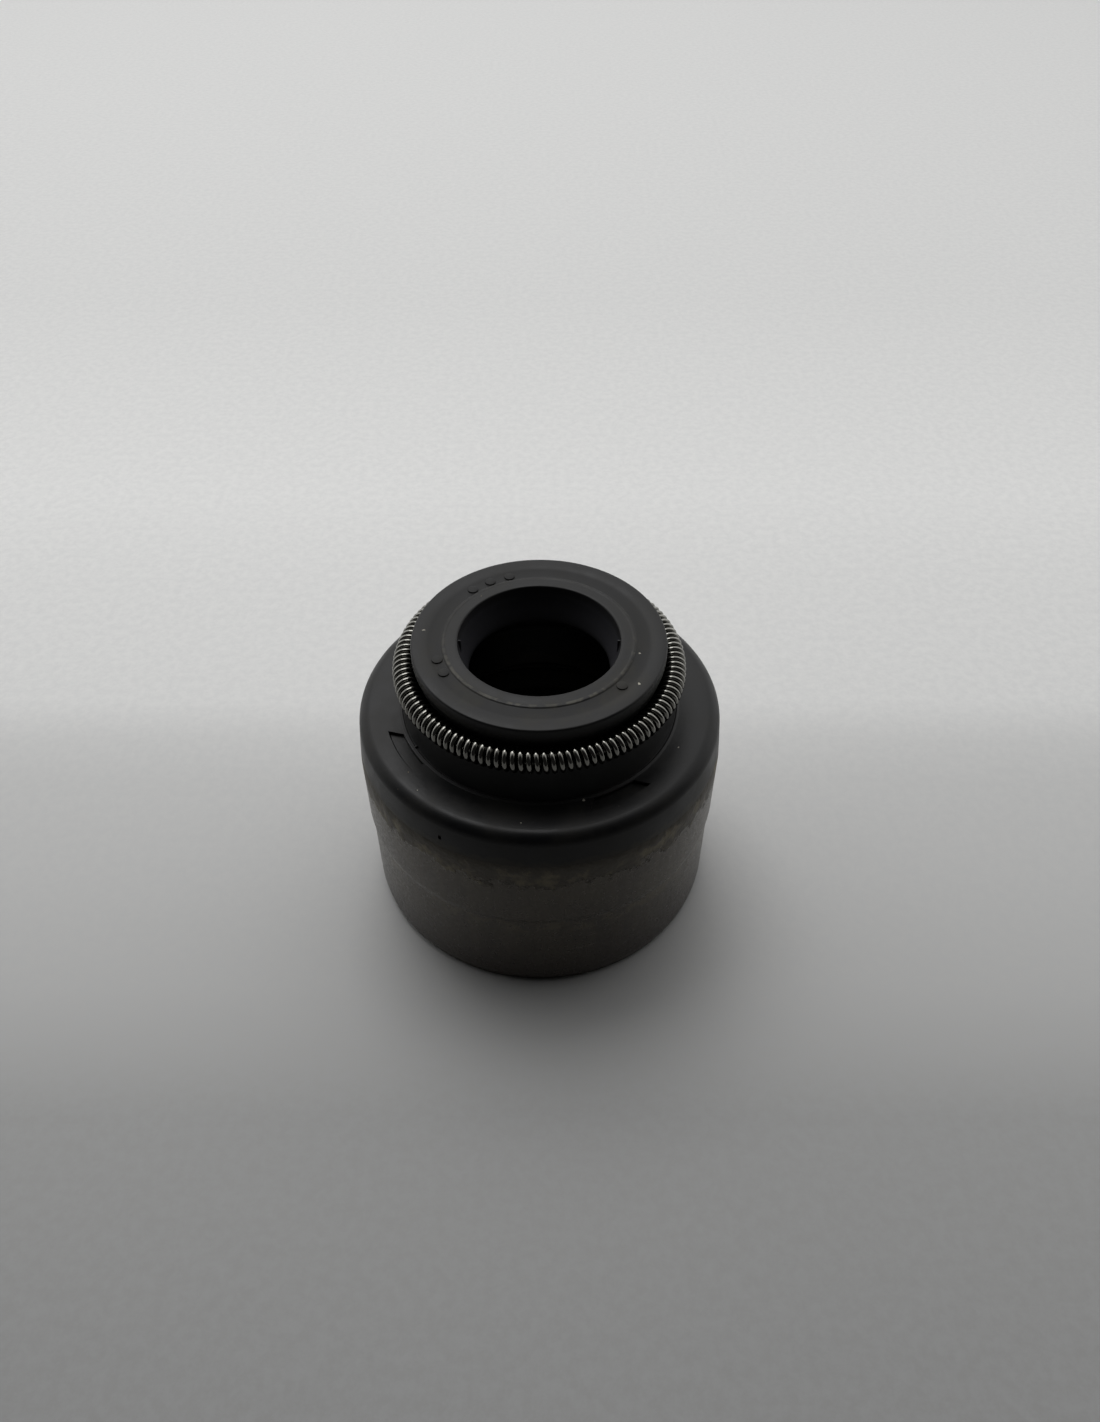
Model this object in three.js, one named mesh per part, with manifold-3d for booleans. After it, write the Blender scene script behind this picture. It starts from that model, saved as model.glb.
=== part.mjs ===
import * as THREE from 'three';
import { mergeVertices } from 'three/addons/utils/BufferGeometryUtils.js';
import Module from 'manifold-3d';

// Valve stem seal: a drawn steel case, the rubber body bonded to it and the garter spring on its head.
// Millimetres, +Z along the valve stem. The case's base ring stands on z = 0.

// Facets round the axis, and the widest step of a rounded edge
const ring_segments = 48;
const arc_step = Math.PI / 6;

// Steel case
const case_radius = 7.92;
const case_wall = 0.8;
const base_chamfer_width = 0.13;
const base_chamfer_height = 0.4;
const base_inner_chamfer = 0.12;
const swage_step = 0.09;
const swage_height = 4.65;
const swage_rise = 0.3;
const press_corner_radius = 1.5;
const flange_bore_radius = 5.2;

// Bond line between the case and the rubber
const bond_film = 0.02;

// Rubber over and under the flange, and the shoulder
const ledge_height = 8.3;
const ledge_thickness = 0.4;
const shoulder_cover = 0.7;
const skin_foot_drop = 0.9;
const skin_foot_inset = 0.04;
const skin_draft = 0.18;
const shoulder_fillet = 0.65;

// Fine moulded ridge where the neck meets the shoulder
const ridge_radius = 5.92;
const ridge_width = 0.12;
const ridge_height = 0.05;

// Shallow pockets in the shoulder, whose end walls close in towards the neck
const pocket_count = 4;
const pocket_azimuth = -150;
const pocket_outer_span = 24.8;
const pocket_inner_span = 17.8;
const pocket_inner_radius = 6.07;
const pocket_outer_radius = 6.65;
const pocket_depth = 0.15;

// Liner that grips the valve guide
const liner_bore_radius = 6.05;
const liner_foot_height = 0.7;
const lead_in_width = 0.5;
const lead_in_height = 0.9;
const bead_count = 3;
const bead_height = 0.22;
const bead_width = 0.9;
const bead_crest = 0.3;
const first_bead_height = 2.4;
const bead_pitch = 2.1;

// Neck and head
const neck_rise = 1.3;
const neck_top_radius = 5.4;
const neck_waist_rise = 0.6;
const neck_waist_radius = 5.58;
const head_height = 3.4;
const head_radius = 5.265;
const head_wall_height = 0.65;
const head_edge_fillet = 0.1;

// Top face: rim round the mouth, channel and outer land
const mouth_radius = 3.35;
const mouth_bevel = 0.08;
const rim_radius = 3.9;
const channel_outer_radius = 4.7;
const channel_depth = 0.06;
const channel_slope = 0.08;

// Stem lip
const mouth_wall_height = 0.8;
const mouth_wall_radius = 3.24;
const lip_radius = 2.95;
const lip_depth = 1.64;
const lip_land = 0.06;
const lip_root_radius = 4.2;
const lip_root_depth = 2.9;
const lip_root_fillet = 0.3;

// Garter spring
const wire_diameter = 0.2;
const wire_sides = 4;
const coil_outer_diameter = 1.0;
const spring_ring_radius = 5.56;
const spring_depth = 1.35;
const spring_turns = 118;
const steps_per_turn = 7;
const nib_turns = 5;
const nib_taper_turns = 1.5;
const nib_clearance = 0.03;
const joint_azimuth = 90;

// Spring groove
const groove_clearance = 0.03;
const groove_from = 238;
const groove_to = 138;

// Levels that follow from the sizes above
const flange_bottom = ledge_height + ledge_thickness;
const case_top = flange_bottom + case_wall;
const shoulder_height = case_top + shoulder_cover;
const top_height = shoulder_height + head_height;
const spring_height = top_height - spring_depth;
const case_bore_radius = case_radius - case_wall;
const land_radius = case_radius - swage_step;
const skin_foot_height = case_top - skin_foot_drop;

const radians = THREE.MathUtils.degToRad;

// An outline in the r-z half plane from corners [r, z, fillet], with each fillet as an arc
function roundedOutline(corners) {
  const at = (i) => new THREE.Vector2(...corners[(i + corners.length) % corners.length]);
  return corners.flatMap(([r, z, fillet = 0], i) => {
    const corner = new THREE.Vector2(r, z);
    if (fillet === 0) return [corner];
    const back = at(i - 1).sub(corner);
    const ahead = at(i + 1).sub(corner);
    const half_angle = Math.acos(back.dot(ahead) / (back.length() * ahead.length())) / 2;
    const room = 0.45 * Math.min(back.length(), ahead.length());
    const reach = Math.min(fillet / Math.tan(half_angle), room);
    const start = corner.clone().addScaledVector(back.normalize(), reach);
    const end = corner.clone().addScaledVector(ahead.normalize(), reach);
    const to_centre = back.add(ahead).setLength(reach / Math.cos(half_angle));
    const centre = corner.add(to_centre);
    const steps = Math.ceil((Math.PI - 2 * half_angle) / arc_step);
    return arc(centre, start.sub(centre), end.sub(centre), steps);
  });
}

// Points of an arc round a centre, from one spoke to the other the short way round
function arc(centre, from, to, steps) {
  const sweep = Math.atan2(from.cross(to), from.dot(to));
  return Array.from({ length: steps + 1 }, (_, k) =>
    from.clone().rotateAround(new THREE.Vector2(), (sweep * k) / steps).add(centre));
}

// A path moved sideways to its right by a distance, with mitred corners
function offsetPath(points, distance) {
  const right = (a, b) => {
    const along = b.clone().sub(a).normalize();
    return new THREE.Vector2(along.y, -along.x);
  };
  return points.map((point, i) => {
    const before = i > 0 ? right(points[i - 1], point) : right(point, points[1]);
    const after = i < points.length - 1 ? right(point, points[i + 1]) : before;
    const mitre = before.clone().add(after).normalize();
    return point.clone().addScaledVector(mitre, distance / mitre.dot(before));
  });
}

// A closed outline turned about the axis, with +Z up
function turned(outline) {
  const geometry = new THREE.LatheGeometry([...outline, outline[0]], ring_segments);
  return geometry.rotateX(Math.PI / 2);
}

// Steel case: base ring and the land below the swage
const case_land_corners = [
  [case_bore_radius, base_inner_chamfer],
  [case_bore_radius + base_inner_chamfer, 0],
  [land_radius - base_chamfer_width, 0],
  [land_radius, base_chamfer_height],
  [land_radius, swage_height],
];

// Steel case: the wall above the swage, the flange and the bore
const case_cup_corners = [
  [case_radius, swage_height + swage_rise],
  [case_radius, case_top, press_corner_radius],
  [flange_bore_radius, case_top],
  [flange_bore_radius, flange_bottom],
  [case_bore_radius, flange_bottom, press_corner_radius - case_wall],
];

function metalCase() {
  return turned(roundedOutline([...case_land_corners, ...case_cup_corners]));
}

// The part of a rising path above a height, cut where it crosses
function above(path, height) {
  const first = path.findIndex((p) => p.y > height);
  const low = path[first - 1];
  const high = path[first];
  const cut = low.clone().lerp(high, (height - low.y) / (high.y - low.y));
  return [cut, ...path.slice(first)];
}

// The rubber's face against the case, from the liner's foot over the flange to the skin's foot
function bondFace() {
  const steel = roundedOutline([...case_cup_corners, [case_bore_radius, liner_foot_height]]);
  return above(offsetPath(steel, bond_film), skin_foot_height).reverse();
}

// Groove of the spring: an arc round the wire coil's section, from its lower edge to its upper one
function springGroove() {
  const radius = coil_outer_diameter / 2 + groove_clearance;
  const spoke = (azimuth) =>
    new THREE.Vector2(radius, 0).rotateAround(new THREE.Vector2(), radians(azimuth));
  const steps = Math.ceil(radians(groove_from - groove_to) / arc_step);
  const centre = new THREE.Vector2(spring_ring_radius, spring_height);
  return arc(centre, spoke(groove_from), spoke(groove_to), steps).map((p) => p.toArray());
}

// Grip beads of the liner, from the top one down
function linerBeads() {
  const crest_radius = liner_bore_radius - bead_height;
  return Array.from({ length: bead_count }, (_, k) => {
    const middle = first_bead_height + (bead_count - 1 - k) * bead_pitch;
    return [
      [liner_bore_radius, middle + bead_width / 2],
      [crest_radius, middle + bead_crest / 2],
      [crest_radius, middle - bead_crest / 2],
      [liner_bore_radius, middle - bead_width / 2],
    ];
  }).flat();
}

// Outline of the rubber body's free faces, from the skin up over the head and down inside
function rubberOutline() {
  const skin = [
    [case_radius - skin_foot_inset, skin_foot_height],
    [case_radius - skin_draft, shoulder_height, shoulder_fillet],
    [ridge_radius + ridge_width / 2, shoulder_height],
    [ridge_radius, shoulder_height + ridge_height],
    [ridge_radius - ridge_width / 2, shoulder_height],
  ];
  const neck = [
    [neck_waist_radius, shoulder_height + neck_waist_rise, neck_waist_rise],
    [neck_top_radius, shoulder_height + neck_rise],
  ];
  const head = [
    [head_radius, top_height - head_wall_height],
    [head_radius, top_height, head_edge_fillet],
    [channel_outer_radius, top_height],
    [channel_outer_radius - channel_slope, top_height - channel_depth],
    [rim_radius + channel_slope, top_height - channel_depth],
    [rim_radius, top_height],
    [mouth_radius + mouth_bevel, top_height],
    [mouth_radius, top_height - mouth_bevel],
    [mouth_wall_radius, top_height - mouth_wall_height],
  ];
  const lip = [
    [lip_radius, top_height - lip_depth + lip_land / 2],
    [lip_radius, top_height - lip_depth - lip_land / 2],
    [lip_root_radius, top_height - lip_root_depth, lip_root_fillet],
  ];
  const liner = [
    [lip_root_radius, ledge_height],
    [liner_bore_radius, ledge_height],
    ...linerBeads(),
    [liner_bore_radius, liner_foot_height + lead_in_height],
    [liner_bore_radius + lead_in_width, liner_foot_height],
  ];
  const face = bondFace().map((p) => p.toArray());
  return roundedOutline([...skin, ...neck, ...springGroove(), ...head, ...lip, ...liner, ...face]);
}

// Booleans of closed meshes
const wasm = await Module();
wasm.setup();

function toSolid(geometry) {
  const bare = geometry.clone();
  bare.deleteAttribute('normal');
  bare.deleteAttribute('uv');
  const merged = mergeVertices(bare, 1e-5);
  return new wasm.Manifold(new wasm.Mesh({
    numProp: 3,
    vertProperties: new Float32Array(merged.attributes.position.array),
    triVerts: new Uint32Array(merged.index.array),
  }));
}

function toGeometry(solid) {
  const mesh = solid.getMesh();
  const geometry = new THREE.BufferGeometry();
  geometry.setAttribute('position', new THREE.BufferAttribute(mesh.vertProperties, 3));
  geometry.setIndex(new THREE.BufferAttribute(mesh.triVerts, 1));
  geometry.computeVertexNormals();
  return geometry;
}

// Block that one shoulder pocket is cut with
function pocketCutter(azimuth) {
  const outer_half = pocket_outer_span / 2;
  const inner_half = pocket_inner_span / 2;
  const plan = new THREE.Shape();
  plan.absarc(0, 0, pocket_outer_radius, radians(azimuth - outer_half), radians(azimuth + outer_half), false);
  plan.absarc(0, 0, pocket_inner_radius, radians(azimuth + inner_half), radians(azimuth - inner_half), true);
  const cutter = new THREE.ExtrudeGeometry(plan, {
    depth: 2 * pocket_depth,
    bevelEnabled: false,
    curveSegments: 2,
  });
  return cutter.translate(0, 0, shoulder_height - pocket_depth);
}

function rubberBody() {
  let solid = toSolid(turned(rubberOutline()));
  for (let k = 0; k < pocket_count; k++) {
    const azimuth = pocket_azimuth + (360 * k) / pocket_count;
    solid = solid.subtract(toSolid(pocketCutter(azimuth)));
  }
  return toGeometry(solid);
}

// Centre line of the spring's wire: a coil bent round a ring, whose last turns narrow to a nib
// that screws into the first turns
class GarterWire extends THREE.Curve {
  getPoint(t, point = new THREE.Vector3()) {
    const turn = t * (spring_turns + nib_turns);
    const coil_radius = (coil_outer_diameter - wire_diameter) / 2;
    const nib_radius = coil_radius - wire_diameter - nib_clearance;
    const narrowing = THREE.MathUtils.smoothstep(turn, spring_turns - nib_taper_turns, spring_turns);
    const radius = THREE.MathUtils.lerp(coil_radius, nib_radius, narrowing);
    const around_ring = radians(joint_azimuth) + (2 * Math.PI * turn) / spring_turns;
    const around_coil = 2 * Math.PI * turn;
    const distance = spring_ring_radius + radius * Math.cos(around_coil);
    return point.set(
      distance * Math.cos(around_ring),
      distance * Math.sin(around_ring),
      spring_height + radius * Math.sin(around_coil),
    );
  }

  // Equal steps of the turn angle, so that every turn has the same facets
  getPointAt(u, point) {
    return this.getPoint(u, point);
  }

  getTangentAt(u, tangent) {
    return this.getTangent(u, tangent);
  }
}

function garterSpring() {
  const section = new THREE.Shape();
  section.absarc(0, 0, wire_diameter / 2, 0, 2 * Math.PI, false);
  return new THREE.ExtrudeGeometry(section, {
    extrudePath: new GarterWire(),
    steps: Math.round((spring_turns + nib_turns) * steps_per_turn),
    curveSegments: wire_sides / 2,
    bevelEnabled: false,
  });
}

function piece(name, geometry, color, roughness, metalness) {
  const mesh = new THREE.Mesh(geometry, new THREE.MeshStandardMaterial({ color, roughness, metalness }));
  mesh.name = name;
  return mesh;
}

const group = new THREE.Group();
group.add(piece('metal_case', metalCase(), 0x5b5445, 0.45, 0.9));
group.add(piece('rubber_body', rubberBody(), 0x2a2a28, 0.6, 0.0));
group.add(piece('garter_spring', garterSpring(), 0x8f8d86, 0.3, 1.0));

export default group;
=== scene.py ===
import math

import bpy
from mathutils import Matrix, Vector


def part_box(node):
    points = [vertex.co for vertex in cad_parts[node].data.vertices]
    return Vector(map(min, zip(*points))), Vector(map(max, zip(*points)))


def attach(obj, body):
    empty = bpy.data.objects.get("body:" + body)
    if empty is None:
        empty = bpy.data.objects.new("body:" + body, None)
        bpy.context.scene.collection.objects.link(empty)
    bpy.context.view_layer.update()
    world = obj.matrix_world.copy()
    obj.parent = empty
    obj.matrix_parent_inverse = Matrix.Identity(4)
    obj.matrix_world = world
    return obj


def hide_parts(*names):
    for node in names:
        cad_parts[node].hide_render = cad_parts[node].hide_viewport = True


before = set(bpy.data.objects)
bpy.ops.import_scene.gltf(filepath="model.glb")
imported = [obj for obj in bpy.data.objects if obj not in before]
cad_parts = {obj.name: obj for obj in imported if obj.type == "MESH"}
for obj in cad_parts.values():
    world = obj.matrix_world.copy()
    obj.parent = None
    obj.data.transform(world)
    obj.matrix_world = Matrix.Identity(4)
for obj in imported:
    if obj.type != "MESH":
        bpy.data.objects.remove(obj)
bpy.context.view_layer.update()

# Camera
# The seal is seen from its front and above, from five centimetres away. The place and the focal
# length come from fitting the seal's circles. All lengths are millimetres, made metres by mm.
mm = 0.001
photo_height = 1422
focal_length_pixels = 1100
film_height = 36
camera_pitch = math.radians(45.5)
camera_distance = 48.1
camera_aim = Vector((0.448, 0, 9.34))
nearest_seen, farthest_seen = 1, 5000

camera_back = Vector((0, -math.cos(camera_pitch), math.sin(camera_pitch)))
bpy.ops.object.camera_add(
    location=(camera_aim + camera_back * camera_distance) * mm,
    rotation=(math.pi / 2 - camera_pitch, 0, 0),
)
camera = bpy.context.object
camera.data.lens = focal_length_pixels / photo_height * film_height
camera.data.sensor_width = film_height
camera.data.clip_start = nearest_seen * mm
camera.data.clip_end = farthest_seen * mm
bpy.context.scene.camera = camera
bpy.context.scene.view_settings.view_transform = "Standard"


# Floor
# A pale painted board. Its colour holds painted shade: brightest behind the seal, it falls off
# towards the viewer as a painted fall-off of the light and a painted soft shadow across the front.
# The paint has a fine grey speckle and a faint orange peel. Each shade is given by its place along
# Y.
floor_size = 1600
floor_painted_shades = [
    (-25, 0.27), (-14, 0.33), (-11, 0.41), (-8, 0.475), (-2, 0.54), (4, 0.588),
    (7, 0.650), (10, 0.783), (14, 0.81), (20, 0.83), (30, 0.89), (60, 0.81),
]
floor_warmth = (1.0, 1.0, 0.985)
floor_speckle = (0.42, 0.43, 0.45, 1)
speckle_share = 0.16


def add_node(tree, kind, sockets=None, **settings):
    """Adds a node with its settings, and a value or a link for each named or numbered socket."""
    node = tree.nodes.new(kind)
    for name, value in settings.items():
        setattr(node, name, value)
    for name, value in (sockets or {}).items():
        if isinstance(value, bpy.types.NodeSocket):
            tree.links.new(value, node.inputs[name])
        else:
            node.inputs[name].default_value = value
    return node


def blend_colours(tree, factor, first, second):
    mix = add_node(tree, "ShaderNodeMix", {0: factor, 6: first, 7: second}, data_type="RGBA")
    return mix.outputs[2]


def ramp_between(tree, value, low, high, to_low=0.0, to_high=1.0):
    """A value that goes smoothly from to_low to to_high as another goes from low to high."""
    sockets = {
        "Value": value,
        "From Min": low,
        "From Max": high,
        "To Min": to_low,
        "To Max": to_high,
    }
    node = add_node(tree, "ShaderNodeMapRange", sockets, interpolation_type="SMOOTHSTEP")
    return node.outputs[0]


def new_material(name, **sockets):
    """A material with one Principled shader, whose plain values are set on its own sockets."""
    material = bpy.data.materials.new(name)
    material.use_nodes = True
    shader = material.node_tree.nodes["Principled BSDF"]
    for socket, value in sockets.items():
        shader.inputs[socket.replace("_", " ")].default_value = value
    return material, material.node_tree, shader


def object_coordinates(tree):
    return add_node(tree, "ShaderNodeTexCoord").outputs["Object"]


def noise(tree, coordinates, size, detail=3.0, roughness=0.5):
    """Noise whose lumps are about size millimetres across."""
    sockets = {
        "Vector": coordinates,
        "Scale": 1 / (size * mm),
        "Detail": detail,
        "Roughness": roughness,
    }
    return add_node(tree, "ShaderNodeTexNoise", sockets).outputs["Fac"]


def bump(tree, height, distance, strength=1.0, normal=None):
    """A bump whose full height is distance millimetres."""
    sockets = {"Height": height, "Distance": distance * mm, "Strength": strength}
    if normal is not None:
        sockets["Normal"] = normal
    return add_node(tree, "ShaderNodeBump", sockets).outputs["Normal"]


bpy.ops.object.select_all(action="DESELECT")
bpy.ops.mesh.primitive_plane_add(size=floor_size * mm)
floor = bpy.context.object
floor.name = "floor"
floor_paint, tree, shader = new_material("floor_paint", Roughness=0.55)
place = object_coordinates(tree)
depth = add_node(tree, "ShaderNodeSeparateXYZ", {0: place}).outputs["Y"]
near, far = floor_painted_shades[0][0], floor_painted_shades[-1][0]
floor_reach = {"Value": depth, "From Min": near * mm, "From Max": far * mm}
along = add_node(tree, "ShaderNodeMapRange", floor_reach)
# Painted shade: the floor's colour darkens towards the viewer along this ramp.
painted_shade_ramp = add_node(tree, "ShaderNodeValToRGB", {"Fac": along.outputs[0]})
while len(painted_shade_ramp.color_ramp.elements) < len(floor_painted_shades):
    painted_shade_ramp.color_ramp.elements.new(0.5)
for element, (position, shade) in zip(painted_shade_ramp.color_ramp.elements, floor_painted_shades):
    element.position = (position - near) / (far - near)
    element.color = (*(shade * warmth for warmth in floor_warmth), 1)
grain = ramp_between(tree, noise(tree, place, 0.5, 4.0, 0.7), 0.3, 0.7, 0.0, speckle_share)
paint = blend_colours(tree, grain, painted_shade_ramp.outputs[0], floor_speckle)
tree.links.new(paint, shader.inputs["Base Color"])
peel = bump(tree, noise(tree, place, 1.6, 2.0), 0.05, 0.25)
tree.links.new(peel, shader.inputs["Normal"])
floor.data.materials.append(floor_paint)


# Light
# A soft lamp stands high behind the seal, a little to the left, and a pale wall fills the view
# behind it, so that its top faces shine and its front lies in shade. The viewer's side is dark.
window_place = Vector((-60, 150, 320))
window_size = 200
window_power = 0.36
room_bright = 1.10
room_dim = 0.02
bright_beyond, dim_before = 0.45, -0.25
backdrop_shade = 0.80

bpy.ops.object.light_add(type="AREA", location=window_place * mm)
window = bpy.context.object
window.data.size = window_size * mm
window.data.energy = window_power
window.rotation_euler = window_place.to_track_quat("Z", "Y").to_euler()

world = bpy.data.worlds.new("room")
bpy.context.scene.world = world
world.use_nodes = True
tree = world.node_tree
direction = add_node(tree, "ShaderNodeTexCoord").outputs["Generated"]
depth = add_node(tree, "ShaderNodeSeparateXYZ", {0: direction}).outputs["Y"]
room = ramp_between(tree, depth, dim_before, bright_beyond, room_dim, room_bright)
seen = add_node(tree, "ShaderNodeLightPath").outputs["Is Camera Ray"]
shown = add_node(tree, "ShaderNodeMix", {0: seen, 2: room, 3: backdrop_shade}).outputs[0]
background = tree.nodes["Background"]
tree.links.new(shown, background.inputs["Strength"])
background.inputs["Color"].default_value = (1, 1, 1, 1)


# Metal case
# A cup drawn from steel sheet, with an inward flange that the rubber is moulded over. A thin coat
# of olive brown bonding agent covers it and is rough and yellow below the rubber's edge.
case_low, case_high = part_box("metal_case")
case_radius = case_high.x / mm
case_top = case_high.z / mm
case_wall = 0.8
land_radius = case_radius - 0.09
swage_height = 4.65
swage_rise = 0.3
press_corner = 1.5
flange_radius = 5.2
base_chamfer = 0.12
base_rise = 0.42
facets_round = 288
weld_distance = 0.0005


def turned_piece(name, corners):
    """Spins a closed outline of corners (r, z, cut, steps), each of them rounded by its cut."""
    bpy.ops.object.select_all(action="DESELECT")
    bpy.ops.mesh.primitive_plane_add(size=1)
    piece = bpy.context.object
    piece.name = name
    bpy.ops.object.mode_set(mode="EDIT")
    bpy.ops.mesh.merge(type="CENTER")
    bpy.ops.transform.translate(value=(corners[0][0], 0, corners[0][1]))
    for here, there in zip(corners, corners[1:]):
        step = (there[0] - here[0], 0, there[1] - here[1])
        bpy.ops.mesh.extrude_vertices_move(TRANSFORM_OT_translate={"value": step})
    select_vertices(piece, lambda place: is_at(place, corners[0]) or is_at(place, corners[-1]))
    bpy.ops.mesh.edge_face_add()
    for corner in corners:
        if len(corner) > 2:
            select_vertices(piece, lambda place: is_at(place, corner))
            bpy.ops.mesh.bevel(offset=corner[2], segments=corner[3], affect="VERTICES")
    bpy.ops.mesh.select_all(action="SELECT")
    bpy.ops.mesh.spin(steps=facets_round, angle=2 * math.pi, center=(0, 0, 0), axis=(0, 0, 1))
    bpy.ops.mesh.select_all(action="SELECT")
    bpy.ops.mesh.remove_doubles(threshold=weld_distance)
    bpy.ops.mesh.normals_make_consistent(inside=False)
    bpy.ops.object.mode_set(mode="OBJECT")
    return piece


def is_at(place, corner):
    return math.hypot(place.x - corner[0], place.z - corner[1]) < weld_distance


def select_vertices(piece, wanted):
    """Leaves the piece in edit mode with the wanted vertices selected, and no others."""
    bpy.ops.object.mode_set(mode="EDIT")
    bpy.ops.mesh.select_all(action="DESELECT")
    bpy.ops.object.mode_set(mode="OBJECT")
    for vertex in piece.data.vertices:
        vertex.select = wanted(vertex.co)
    bpy.ops.object.mode_set(mode="EDIT")


def finish_piece(piece, material, node, smooth_angle=30):
    """Turns millimetres to metres, smooths the piece, and puts it in the place of its CAD node."""
    bpy.ops.object.select_all(action="DESELECT")
    piece.select_set(True)
    bpy.context.view_layer.objects.active = piece
    piece.scale = (mm, mm, mm)
    bpy.ops.object.transform_apply(location=True, rotation=True, scale=True)
    bpy.ops.object.shade_smooth_by_angle(angle=math.radians(smooth_angle))
    piece.data.materials.clear()
    piece.data.materials.append(material)
    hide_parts(node)
    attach(piece, "root")


case_bore = case_radius - case_wall
metal_case = turned_piece("drawn_case", [
    (case_bore, base_chamfer, 0.03, 2),
    (case_bore + base_chamfer, 0, 0.04, 2),
    (land_radius - 0.16, 0, 0.1, 4),
    (land_radius, base_rise, 0.25, 5),
    (land_radius, swage_height, 0.12, 4),
    (case_radius, swage_height + swage_rise, 0.12, 4),
    (case_radius, case_top, press_corner, 14),
    (flange_radius, case_top, 0.06, 3),
    (flange_radius, case_top - case_wall, 0.06, 3),
    (case_bore, case_top - case_wall, press_corner - case_wall, 8),
])


def product(tree, first, second):
    sockets = {0: first, 1: second}
    return add_node(tree, "ShaderNodeMath", sockets, operation="MULTIPLY").outputs[0]


def band(tree, value, low, high, soft):
    """1 where the value lies between low and high, in millimetres, and 0 beyond, softly."""
    rise = ramp_between(tree, value, (low - soft) * mm, (low + soft) * mm)
    fall = ramp_between(tree, value, (high - soft) * mm, (high + soft) * mm, 1.0, 0.0)
    return product(tree, rise, fall)


def turned_coordinates(tree):
    """The place on a turned piece: its coordinates, radius, height and turn in radians."""
    place = object_coordinates(tree)
    axes = add_node(tree, "ShaderNodeSeparateXYZ", {0: place}).outputs
    flat = add_node(tree, "ShaderNodeCombineXYZ", {0: axes["X"], 1: axes["Y"]}).outputs[0]
    radius = add_node(tree, "ShaderNodeVectorMath", {0: flat}, operation="LENGTH").outputs["Value"]
    turn = add_node(tree, "ShaderNodeMath", {0: axes["Y"], 1: axes["X"]}, operation="ARCTAN2")
    return place, radius, axes["Z"], turn.outputs[0]


def streaks_along(tree, turn, height, around, along, detail=4.0):
    """Noise stretched over a turned wall, with lumps around by along millimetres in size."""
    wall = add_node(tree, "ShaderNodeCombineXYZ", {0: turn, 1: height}).outputs[0]
    stretch = (case_radius / around, 1 / (along * mm), 1)
    shape = add_node(tree, "ShaderNodeMapping", {"Vector": wall, "Scale": stretch}).outputs[0]
    sockets = {"Vector": shape, "Scale": 1, "Detail": detail}
    return add_node(tree, "ShaderNodeTexNoise", sockets).outputs["Fac"]


dust_wobble = 0.1 * mm
wobbles_per_metre = 9000


def make_dust_group():
    """Sparse ragged specks of dust on faces that look up."""
    group = bpy.data.node_groups.new("dust", "ShaderNodeTree")
    group.interface.new_socket("Place", in_out="INPUT", socket_type="NodeSocketVector")
    group.interface.new_socket("Cells per metre", in_out="INPUT", socket_type="NodeSocketFloat")
    group.interface.new_socket("Speck", in_out="INPUT", socket_type="NodeSocketFloat")
    group.interface.new_socket("Kept", in_out="INPUT", socket_type="NodeSocketFloat")
    group.interface.new_socket("Mask", in_out="OUTPUT", socket_type="NodeSocketFloat")
    given = group.nodes.new("NodeGroupInput").outputs
    wobble_sockets = {"Vector": given["Place"], "Scale": wobbles_per_metre, "Detail": 1}
    wobble = add_node(group, "ShaderNodeTexNoise", wobble_sockets).outputs["Color"]
    shifted_sockets = {0: wobble, 1: (dust_wobble,) * 3, 2: given["Place"]}
    shifted = add_node(group, "ShaderNodeVectorMath", shifted_sockets, operation="MULTIPLY_ADD")
    cell_sockets = {"Vector": shifted.outputs[0], "Scale": given["Cells per metre"]}
    cells = add_node(group, "ShaderNodeTexVoronoi", cell_sockets)
    chance = add_node(group, "ShaderNodeSeparateColor", {0: cells.outputs["Color"]})
    kept_sockets = {0: chance.outputs[0], 1: given["Kept"]}
    kept = add_node(group, "ShaderNodeMath", kept_sockets, operation="LESS_THAN").outputs[0]
    size = product(group, chance.outputs[1], given["Speck"])
    near_sockets = {0: cells.outputs["Distance"], 1: size}
    near = add_node(group, "ShaderNodeMath", near_sockets, operation="LESS_THAN")
    normal = add_node(group, "ShaderNodeNewGeometry").outputs["Normal"]
    upward = add_node(group, "ShaderNodeSeparateXYZ", {0: normal}).outputs["Z"]
    lying = ramp_between(group, upward, 0.3, 0.8)
    mask = product(group, product(group, kept, near.outputs[0]), lying)
    result = group.nodes.new("NodeGroupOutput")
    group.links.new(mask, result.inputs["Mask"])
    return group


dust = make_dust_group()


def dust_mask(tree, place, cell, speck, kept):
    """Dust on a piece, by the sizes of a cell and of its largest speck and the share kept."""
    sockets = {
        "Place": place,
        "Cells per metre": 1 / (cell * mm),
        "Speck": speck / cell,
        "Kept": kept,
    }
    return add_node(tree, "ShaderNodeGroup", sockets, node_tree=dust).outputs["Mask"]


warm_film = (1.0, 0.94, 0.84, 1)
coated_steel, tree, shader = new_material("coated_steel", IOR=1.62, Specular_Tint=warm_film)
place, radius, height, turn = turned_coordinates(tree)
cloud = noise(tree, place, 2.2, 4.0, 0.6)
fine = noise(tree, place, 0.16, 3.0, 0.6)
runs = streaks_along(tree, turn, height, 0.5, 6.0)
rings = streaks_along(tree, turn, height, 9.0, 0.22)

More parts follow.
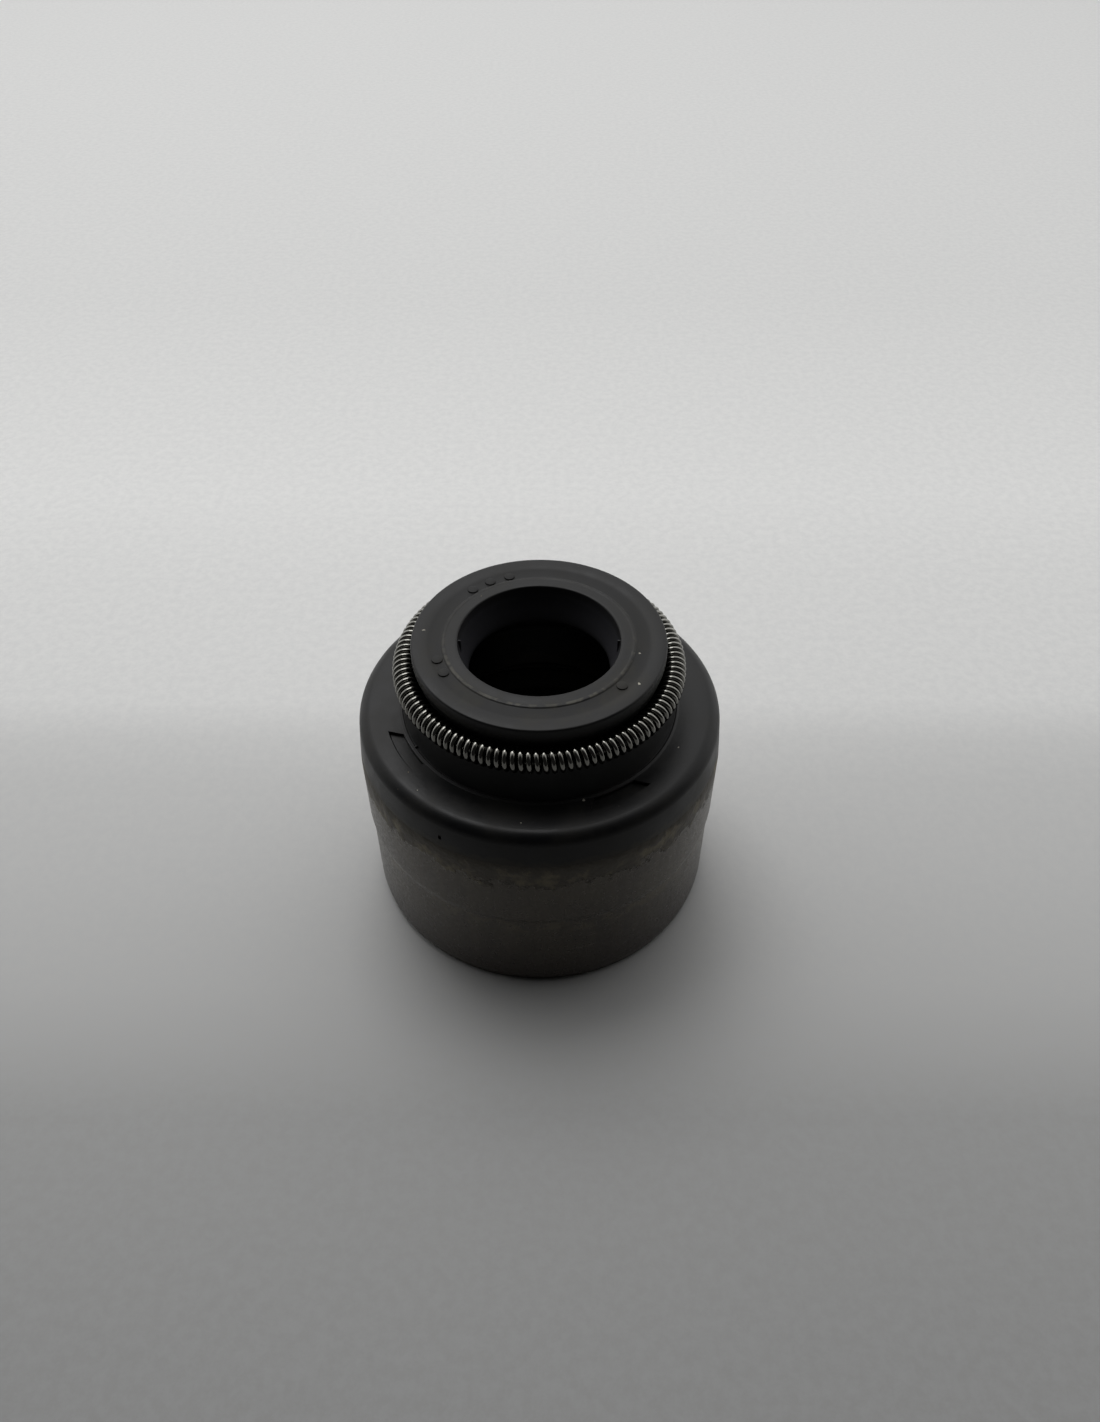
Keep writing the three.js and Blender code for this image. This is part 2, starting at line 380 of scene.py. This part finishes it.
steel_dark = (0.016, 0.0105, 0.0060, 1)
steel_light = (0.034, 0.025, 0.015, 1)
olive = (0.042, 0.034, 0.018, 1)
blotch_colour = (0.060, 0.048, 0.026, 1)
painted_foot_shade_brown = (0.012, 0.0055, 0.0045, 1)
contact_shadow_black = (0.003, 0.0022, 0.002, 1)
foot_low, foot_high = 0.2, 4.0
edge_low, edge_high = 0.1, 0.6
surface = blend_colours(tree, ramp_between(tree, runs, 0.35, 0.70), steel_dark, steel_light)
olive_share = product(tree, ramp_between(tree, cloud, 0.42, 0.68), 0.7)
surface = blend_colours(tree, olive_share, surface, olive)
below_swage = band(tree, height, swage_height - 0.75, swage_height + 0.05, 0.25)
blotches = ramp_between(tree, noise(tree, place, 0.7, 4.0, 0.6), 0.45, 0.6)
surface = blend_colours(tree, product(tree, below_swage, blotches), surface, blotch_colour)
# Painted shade, tinted brown: the case darkens from four millimetres up down to its foot, where
# the floor lies in shade.
painted_foot_shade = ramp_between(tree, height, foot_low * mm, foot_high * mm, 0.8, 0.0)
surface = blend_colours(tree, painted_foot_shade, surface, painted_foot_shade_brown)
# Painted contact shadow: the base's edge is black where it meets the floor.
painted_contact_shadow = ramp_between(tree, height, edge_low * mm, edge_high * mm, 0.95, 0.0)
surface = blend_colours(tree, painted_contact_shadow, surface, contact_shadow_black)

# The bonding agent has a ragged lower edge, and is darker just under the rubber's skin.
agent_foot = 7.25
agent_darkens = 8.0
agent_edge = 0.25
agent_ragged = 0.35
agent_dark = (0.018, 0.0135, 0.007, 1)
agent_light = (0.105, 0.088, 0.048, 1)
agent_upper = (0.020, 0.016, 0.009, 1)
edge_noise = noise(tree, place, 0.9, 4.0, 0.6)
edge_shift = ramp_between(tree, edge_noise, 0.3, 0.7, -agent_ragged * mm, agent_ragged * mm)
ragged = add_node(tree, "ShaderNodeMath", {0: height, 1: edge_shift}, operation="ADD").outputs[0]
agent = ramp_between(tree, ragged, agent_foot * mm, (agent_foot + agent_edge) * mm)
agent_cloud = ramp_between(tree, noise(tree, place, 1.3, 4.0, 0.6), 0.45, 0.62)
agent_colour = blend_colours(tree, agent_cloud, agent_dark, agent_light)
upper = ramp_between(tree, ragged, agent_darkens * mm, (agent_darkens + agent_edge) * mm)
agent_colour = blend_colours(tree, upper, agent_colour, agent_upper)
surface = blend_colours(tree, agent, surface, agent_colour)

bare_steel = (0.16, 0.15, 0.13, 1)
scratch_cells = streaks_along(tree, turn, height, 3.0, 0.05, 0.0)
scratch_parts = ramp_between(tree, noise(tree, place, 1.4, 2.0), 0.58, 0.66)
scratches = product(tree, ramp_between(tree, scratch_cells, 0.74, 0.80), scratch_parts)
surface = blend_colours(tree, product(tree, scratches, 0.7), surface, bare_steel)
tree.links.new(surface, shader.inputs["Base Color"])
# The same painted contact shadow makes the edge metallic, so that it keeps no shine.
tree.links.new(painted_contact_shadow, shader.inputs["Metallic"])

agent_roughness = 0.52
gloss = ramp_between(tree, fine, 0.3, 0.7, 0.26, 0.40)
gloss = add_node(tree, "ShaderNodeMix", {0: agent, 2: gloss, 3: agent_roughness}).outputs[0]
tree.links.new(gloss, shader.inputs["Roughness"])
drawn = bump(tree, rings, 0.003, 0.4, bump(tree, runs, 0.02, 0.35))
grained = bump(tree, fine, 0.003, 0.4, drawn)
clotted = bump(tree, product(tree, edge_noise, agent), 0.12, 0.8, grained)
tree.links.new(clotted, shader.inputs["Normal"])
finish_piece(metal_case, coated_steel, "metal_case")


# Rubber body
# One elastomer moulding bonded over the case: the liner with its grip beads, the ledge, the lip,
# the head with its spring groove, the neck and the shoulder with four pockets.
rubber_low, rubber_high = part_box("rubber_body")
head_top = rubber_high.z / mm
shoulder_top = case_top + 0.7
shoulder_dip = 0.015
ledge = case_top - case_wall - 0.4
film = 0.02
skin_foot = case_top - 0.9
skin_foot_radius = case_radius - 0.04
ridge_radius = 5.92
ridge_rise = 0.045
shoulder_outer, shoulder_inner = 6.9, 6.3
neck_foot, neck_waist = 5.56, 5.40
spring_radius = 5.56
spring_height = head_top - 1.35
groove_radius = 0.56
head_radius = 5.265
head_wall = 0.50
channel_outer, channel_inner = 4.80, 4.02
channel_depth = 0.06
rim_ridge = 3.90
rim_radius = 3.60
mouth_radius = 3.35
mouth_foot = 3.24
lip_radius = 2.95
lip_root = 4.2
liner_bore = 6.05
liner_foot = rubber_low.z / mm
bead_crest = liner_bore - 0.22
bead_heights = (6.6, 4.5, 2.4)
bead_reach, bead_flat = 0.45, 0.08


def arc(centre, radius, start, end, steps):
    """Corners of an arc in the outline, from one angle to another in degrees."""
    angles = [math.radians(start + (end - start) * k / steps) for k in range(steps + 1)]
    return [(centre[0] + radius * math.cos(a), centre[1] + radius * math.sin(a)) for a in angles]


beads = []
for middle in bead_heights:
    beads += [
        (liner_bore, middle + bead_reach, 0.1, 3),
        (bead_crest, middle + bead_flat, 0.12, 4),
        (bead_crest, middle - bead_flat, 0.02, 2),
        (liner_bore, middle - bead_reach, 0.1, 3),
    ]

corner_centre = (case_radius - press_corner, case_top - press_corner)
corner_face = arc(corner_centre, press_corner + film, 90, 23.3, 12)
inner_face = arc(corner_centre, press_corner - case_wall - film, 0, 90, 8)
rubber_outline = [
    (skin_foot_radius, skin_foot),
    (case_radius - 0.07, skin_foot + 0.35, 0.2, 4),
    (case_radius - 0.18, shoulder_top, 0.50, 12),
    (shoulder_outer, shoulder_top, 0.1, 3),
    (shoulder_inner, shoulder_top - shoulder_dip),
    (ridge_radius + 0.09, shoulder_top - shoulder_dip, 0.03, 3),
    (ridge_radius, shoulder_top + ridge_rise, 0.03, 4),
    (ridge_radius - 0.07, shoulder_top, 0.03, 3),
    (neck_foot, shoulder_top + 0.62, 0.4, 8),
    (neck_waist, shoulder_top + 1.3, 0.08, 3),
    *arc((spring_radius, spring_height), groove_radius, 238, 138, 12),
    (head_radius, head_top - head_wall, 0.10, 4),
    (head_radius, head_top, 0.09, 5),
    (channel_outer, head_top, 0.20, 4),
    (channel_outer - 0.30, head_top - channel_depth, 0.15, 4),
    (channel_inner, head_top - channel_depth + 0.01, 0.04, 3),
    (rim_ridge + 0.08, head_top - 0.012, 0.015, 2),
    (rim_ridge, head_top, 0.02, 2),
    (rim_ridge - 0.06, head_top - 0.014, 0.02, 2),
    (rim_radius, head_top, 0.10, 4),
    (mouth_radius, head_top, 0.07, 4),
    (mouth_foot, head_top - 0.8, 0.25, 6),
    (lip_radius, head_top - 1.64, 0.05, 4),
    (lip_root, head_top - 2.9, 0.35, 6),
    (lip_root, ledge, 0.08, 3),
    (liner_bore, ledge, 0.08, 3),
    *beads,
    (liner_bore, liner_foot + 0.9, 0.1, 3),
    (liner_bore + 0.5, liner_foot, 0.08, 3),
    (case_bore - film, liner_foot),
    *inner_face,
    (flange_radius - film, case_top - case_wall - film),
    (flange_radius - film, case_top + film),
    *corner_face,
]
rubber_body = turned_piece("seal_rubber", rubber_outline)

# Each pocket is a shallow floor with a narrow gutter along its outer wall; angles are in degrees.
pocket_azimuth = -150
pocket_depth = 0.15
pocket_inner, pocket_outer = 6.07, 6.65
pocket_outer_half, pocket_inner_half = 12.4, 8.9
gutter_depth = 0.26
gutter_width = 0.07
gutter_inset = 0.012
gutter_trim = 0.15
block_half = 20
block_steps = 32


def on_circle(radius, azimuth, height):
    angle = math.radians(azimuth)
    return Vector((radius * math.cos(angle), radius * math.sin(angle), height))


def cut_with(piece, cutter, operation):
    """Joins a cutter to a piece or takes it away, and deletes the cutter."""
    bpy.ops.object.select_all(action="DESELECT")
    piece.select_set(True)
    bpy.context.view_layer.objects.active = piece
    change = piece.modifiers.new("cut", "BOOLEAN")
    change.operation = operation
    change.solver = "EXACT"
    change.object = cutter
    bpy.ops.object.modifier_apply(modifier="cut")
    bpy.data.objects.remove(cutter)


def pocket_block(azimuth, inner_radius, outer_radius, trim, depth):
    """A curved block between two radii, trimmed by the pocket's two slanting end walls."""
    bpy.ops.object.select_all(action="DESELECT")
    bpy.ops.mesh.primitive_plane_add(size=1, rotation=(math.pi / 2, 0, 0))
    block = bpy.context.object
    bpy.ops.object.transform_apply(location=True, rotation=True, scale=True)
    bpy.ops.object.mode_set(mode="EDIT")
    bpy.ops.transform.resize(value=(outer_radius - inner_radius, 1, 2 * depth))
    middle = ((inner_radius + outer_radius) / 2, 0, shoulder_top - shoulder_dip)
    bpy.ops.transform.translate(value=middle)
    start = math.radians(azimuth + block_half)
    bpy.ops.transform.rotate(value=-start, orient_axis="Z", center_override=(0, 0, 0))
    sweep = math.radians(2 * block_half)
    bpy.ops.mesh.spin(steps=block_steps, angle=sweep, center=(0, 0, 0), axis=(0, 0, 1))
    for side in (-1, 1):
        outer = on_circle(pocket_outer, azimuth + side * (pocket_outer_half - trim), 0)
        inner = on_circle(pocket_inner, azimuth + side * (pocket_inner_half - trim), 0)
        wall = (inner - outer).cross(Vector((0, 0, 1))) * side
        bpy.ops.mesh.select_all(action="SELECT")
        bpy.ops.mesh.bisect(plane_co=outer, plane_no=wall, use_fill=True, clear_outer=True)
    bpy.ops.mesh.select_all(action="SELECT")
    bpy.ops.mesh.normals_make_consistent(inside=False)
    bpy.ops.object.mode_set(mode="OBJECT")
    return block


def joined(pieces):
    bpy.ops.object.select_all(action="DESELECT")
    for piece in pieces:
        piece.select_set(True)
    bpy.context.view_layer.objects.active = pieces[0]
    bpy.ops.object.join()
    return pieces[0]


pocket_places = [pocket_azimuth + 90 * quarter for quarter in range(4)]
pocket_cuts = (
    (pocket_inner, pocket_outer, 0, pocket_depth),
    (pocket_outer - gutter_width, pocket_outer - gutter_inset, gutter_trim, gutter_depth),
)
for cut in pocket_cuts:
    blocks = joined([pocket_block(azimuth, *cut) for azimuth in pocket_places])
    cut_with(rubber_body, blocks, "DIFFERENCE")

# Low round pips in the head's channel, two thin ribs inside the mouth, and the small flaws of the
# moulding: a scrap of flash at the neck's foot and a nick in the skin.
pip_azimuths = (108, 120, 132, -40, -152, -163)
pip_place = 4.28
pip_radius = 0.23
pip_top = head_top - 0.006
pip_foot = head_top - 0.12
soft_edge = 0.018
rib_azimuths = (0, 180)
rib_place = 3.30
rib_top, rib_foot = head_top - 0.12, head_top - 0.75
scrap_place, scrap_azimuth = 5.76, -149.6
nick_place, nick_azimuth = case_radius - 0.08, -120


def soften_edges(mark):
    bpy.ops.object.transform_apply(location=True, rotation=True, scale=True)
    bpy.ops.object.mode_set(mode="EDIT")
    bpy.ops.mesh.bevel(offset=soft_edge, segments=2, affect="EDGES")
    bpy.ops.object.mode_set(mode="OBJECT")
    return mark


def raised_pip(azimuth):
    bpy.ops.object.select_all(action="DESELECT")
    bpy.ops.mesh.primitive_cylinder_add(vertices=24, radius=pip_radius, depth=pip_top - pip_foot)
    bpy.context.object.location = on_circle(pip_place, azimuth, (pip_top + pip_foot) / 2)
    return soften_edges(bpy.context.object)


def raised_rib(radius, azimuth, across, around, low, high):
    """A small block set square to the turned piece's radius, reaching into its surface."""
    bpy.ops.object.select_all(action="DESELECT")
    bpy.ops.mesh.primitive_cube_add(size=1)
    rib = bpy.context.object
    rib.scale = (across, around, high - low)
    rib.rotation_euler = (0, 0, math.radians(azimuth))
    rib.location = on_circle(radius, azimuth, (low + high) / 2)
    return soften_edges(rib)


marks = [raised_pip(azimuth) for azimuth in pip_azimuths]
for azimuth in rib_azimuths:
    marks.append(raised_rib(rib_place, azimuth, 0.16, 0.06, rib_foot, rib_top))
scrap_heights = (shoulder_top - 0.1, shoulder_top + 0.10)
marks.append(raised_rib(scrap_place, scrap_azimuth, 0.36, 0.06, *scrap_heights))
cut_with(rubber_body, joined(marks), "UNION")
nick = raised_rib(nick_place, nick_azimuth, 0.16, 0.14, 9.0, 9.22)
cut_with(rubber_body, nick, "DIFFERENCE")

seal_rubber, tree, shader = new_material("seal_rubber", Specular_IOR_Level=0.24)
place, radius, height, _ = turned_coordinates(tree)
cloud = noise(tree, place, 1.6, 4.0, 0.6)
fine = noise(tree, place, 0.07, 3.0, 0.6)
lumps = noise(tree, place, 0.55, 3.0, 0.55)
mould_place = add_node(tree, "ShaderNodeCombineXYZ", {0: radius, 1: height}).outputs[0]
mould_rings = noise(tree, mould_place, 0.18, 3.0, 0.6)

black = (0.0048, 0.0049, 0.0054, 1)
worn_black = (0.0095, 0.0090, 0.0080, 1)
deep_black = (0.0030, 0.0030, 0.0032, 1)
neck_painted_light_grey = (0.013, 0.013, 0.0125, 1)
mouth_painted_reflection = (0.046, 0.046, 0.052, 1)
torn_edge_and_highlight = (0.060, 0.056, 0.042, 1)
oil_stain = (0.020, 0.018, 0.011, 1)
flash_brown = (0.018, 0.015, 0.009, 1)
pale_dust = (0.42, 0.40, 0.34, 1)
fine_dust = (0.16, 0.14, 0.10, 1)

# The head's face has its own deeper black. The neck and the head's side wall carry a painted
# light, and the wall of the mouth a painted reflection.
surface = blend_colours(tree, ramp_between(tree, cloud, 0.38, 0.66), black, worn_black)
on_head = ramp_between(tree, height, (head_top - 0.1) * mm, (head_top - 0.07) * mm)
surface = blend_colours(tree, product(tree, on_head, 0.35), surface, deep_black)
# Painted light: the neck and the head's side wall are made lighter, as if lit from the sides.
neck_low, neck_high = (shoulder_top + 0.05) * mm, (shoulder_top + 0.2) * mm
above_foot = ramp_between(tree, height, neck_low, neck_high)
wall_low, wall_high = (head_top - 0.15) * mm, (head_top - 0.1) * mm
below_head = ramp_between(tree, height, wall_low, wall_high, 1.0, 0.0)
painted_neck_light = product(tree, product(tree, above_foot, below_head), 0.5)
surface = blend_colours(tree, painted_neck_light, surface, neck_painted_light_grey)
# Painted reflection: the wall of the mouth is a bluish grey, dimmer near the rim and gone below
# the lip.
mouth_in, mouth_out = (mouth_radius - 0.02) * mm, (mouth_radius + 0.01) * mm
painted_mouth_reflection = ramp_between(tree, radius, mouth_in, mouth_out, 1.0, 0.0)
lit_low, lit_high = (head_top - 1.7) * mm, (head_top - 1.4) * mm
painted_mouth_reflection = product(tree, painted_mouth_reflection, ramp_between(tree, height, lit_low, lit_high))
dim_low, dim_high = (head_top - 0.5) * mm, (head_top - 0.2) * mm
painted_mouth_reflection = product(tree, painted_mouth_reflection, ramp_between(tree, height, dim_low, dim_high, 1.0, 0.3))
surface = blend_colours(tree, product(tree, painted_mouth_reflection, 0.85), surface, mouth_painted_reflection)
channel = product(tree, band(tree, radius, channel_inner, 4.60, 0.10), on_head)
surface = blend_colours(tree, product(tree, channel, 0.55), surface, deep_black)

# Wear at the front of the head: a torn edge along the rim's ridge, lightened there by a painted
# highlight, and oily stains.
across = add_node(tree, "ShaderNodeSeparateXYZ", {0: place}).outputs["Y"]
front = ramp_between(tree, across, -2.0 * mm, 1.0 * mm, 1.0, 0.15)
rim = product(tree, band(tree, radius, rim_ridge - 0.06, rim_ridge + 0.09, 0.03), on_head)
torn_and_highlight = ramp_between(tree, noise(tree, place, 0.35, 3.0), 0.42, 0.62)
torn_and_highlight = product(tree, product(tree, rim, product(tree, torn_and_highlight, front)), 0.8)
surface = blend_colours(tree, torn_and_highlight, surface, torn_edge_and_highlight)
stain = product(tree, product(tree, band(tree, radius, 3.5, 4.9, 0.3), on_head), front)
stain = product(tree, stain, ramp_between(tree, cloud, 0.45, 0.65))
surface = blend_colours(tree, product(tree, stain, 0.5), surface, oil_stain)

# The thin brown flash at the foot of the skin, then the dust.
foot_noise = noise(tree, place, 0.8, 4.0, 0.6)
foot_shift = ramp_between(tree, foot_noise, 0.3, 0.7, -0.2 * mm, 0.2 * mm)
ragged = add_node(tree, "ShaderNodeMath", {0: height, 1: foot_shift}, operation="ADD").outputs[0]
flash_low, flash_high = (skin_foot + 0.1) * mm, (skin_foot + 0.35) * mm
flash = ramp_between(tree, ragged, flash_low, flash_high, 1.0, 0.0)
surface = blend_colours(tree, flash, surface, flash_brown)
specks = dust_mask(tree, place, 0.8, 0.075, 0.30)
surface = blend_colours(tree, specks, surface, pale_dust)
grains = dust_mask(tree, place, 0.35, 0.035, 0.10)
surface = blend_colours(tree, grains, surface, fine_dust)
tree.links.new(surface, shader.inputs["Base Color"])

channel_roughness = 0.62
dust_roughness = 0.9
satin = ramp_between(tree, cloud, 0.35, 0.65, 0.36, 0.46)
in_channel = product(tree, channel, 0.6)
satin = add_node(tree, "ShaderNodeMix", {0: in_channel, 2: satin, 3: channel_roughness}).outputs[0]
dusty = add_node(tree, "ShaderNodeMath", {0: specks, 1: grains}, operation="MAXIMUM").outputs[0]
satin = add_node(tree, "ShaderNodeMix", {0: dusty, 2: satin, 3: dust_roughness}).outputs[0]
tree.links.new(satin, shader.inputs["Roughness"])
skin = bump(tree, mould_rings, 0.004, 0.5, bump(tree, lumps, 0.012, 0.5))
tree.links.new(bump(tree, fine, 0.006, 0.5, skin), shader.inputs["Normal"])
finish_piece(rubber_body, seal_rubber, "rubber_body")


# Garter spring
# A coil of bright spring wire, wound straight and bent into a ring. Its last turns are wound
# narrower, as a nib, and are screwed into its first turns at the back of the seal.
wire = 0.2
coil_radius = 0.43
coil_lift = 0.03
spring_turns = 118
pitch = 2 * math.pi * spring_radius / spring_turns
body_turns = 117
nib_start = 117.6
nib_turns = 5
nib_gap = 0.03
nib_radius = coil_radius - wire - nib_gap
wire_sides = 12
steps_each_turn = 28


def wound_coil(start, radius, turns):
    """A straight coil along X that starts at a place on it, with both its ends open."""
    bpy.ops.object.select_all(action="DESELECT")
    upright = (math.pi / 2, 0, 0)
    bpy.ops.mesh.primitive_circle_add(vertices=wire_sides, radius=wire / 2, rotation=upright)
    coil = bpy.context.object
    coil.location = (0, 0, radius)
    bpy.ops.object.transform_apply(location=True, rotation=True, scale=True)
    screw = coil.modifiers.new("turns", "SCREW")
    screw.axis = "X"
    screw.angle = 2 * math.pi
    screw.screw_offset = pitch
    screw.iterations = turns
    screw.steps = steps_each_turn
    screw.render_steps = steps_each_turn
    screw.use_merge_vertices = False
    bpy.ops.object.modifier_apply(modifier="turns")
    coil.location = (start, 0, 0)
    bpy.ops.object.transform_apply(location=True, rotation=True, scale=True)
    return coil


whole_length = (nib_start + nib_turns) * pitch
spring_start = -whole_length / 2
spring = wound_coil(spring_start, coil_radius, body_turns)
nib = wound_coil(spring_start + nib_start * pitch, nib_radius, nib_turns)
spring.select_set(True)
bpy.context.view_layer.objects.active = spring
bpy.ops.object.join()
spring.name = "wound_spring"

# The coil's end is bridged to the nib's start, and the wire's two loose ends are capped.
bpy.ops.object.mode_set(mode="EDIT")
bpy.ops.mesh.select_mode(type="EDGE")
bpy.ops.mesh.select_all(action="DESELECT")
bpy.ops.mesh.select_non_manifold()
bpy.ops.object.mode_set(mode="OBJECT")
link_from = spring_start + body_turns * pitch - wire
link_to = spring_start + nib_start * pitch + wire
for vertex in spring.data.vertices:
    vertex.select = vertex.select and link_from < vertex.co.x < link_to
for edge in spring.data.edges:
    edge.select = edge.select and all(spring.data.vertices[end].select for end in edge.vertices)
bpy.ops.object.mode_set(mode="EDIT")
bpy.ops.mesh.bridge_edge_loops(number_cuts=6)
bpy.ops.mesh.select_all(action="DESELECT")
bpy.ops.mesh.select_non_manifold()
bpy.ops.mesh.edge_face_add()
bpy.ops.mesh.select_mode(type="VERT")
bpy.ops.mesh.select_all(action="SELECT")
bpy.ops.mesh.normals_make_consistent(inside=False)
bpy.ops.object.mode_set(mode="OBJECT")

# The straight coil is bent round until the nib lies inside the first turns.
ring = spring.modifiers.new("ring", "SIMPLE_DEFORM")
ring.deform_method = "BEND"
ring.deform_axis = "Z"
ring.angle = whole_length / spring_radius
bpy.ops.object.modifier_apply(modifier="ring")
spring.location = (0, -spring_radius, spring_height + coil_lift)
bpy.ops.object.transform_apply(location=True, rotation=True, scale=True)

spring_wire, tree, shader = new_material("spring_wire", Metallic=1.0)
place = object_coordinates(tree)
dull_wire = (0.17, 0.166, 0.15, 1)
bright_wire = (0.31, 0.305, 0.28, 1)
painted_wire_shade = (0.022, 0.021, 0.018, 1)
tint = blend_colours(tree, noise(tree, place, 0.5, 3.0), dull_wire, bright_wire)
height = add_node(tree, "ShaderNodeSeparateXYZ", {0: place}).outputs["Z"]
# Painted shade: the lower half of each turn is darkened, standing in for the shade and dark
# reflections under the coil.
underside_low, underside_high = (spring_height - 0.42) * mm, (spring_height + 0.1) * mm
painted_underside_shade = ramp_between(tree, height, underside_low, underside_high, 0.9, 0.0)
tint = blend_colours(tree, painted_underside_shade, tint, painted_wire_shade)
tree.links.new(tint, shader.inputs["Base Color"])
rough = ramp_between(tree, noise(tree, place, 0.12, 2.0), 0.3, 0.7, 0.06, 0.13)
tree.links.new(rough, shader.inputs["Roughness"])
finish_piece(spring, spring_wire, "garter_spring", 60)
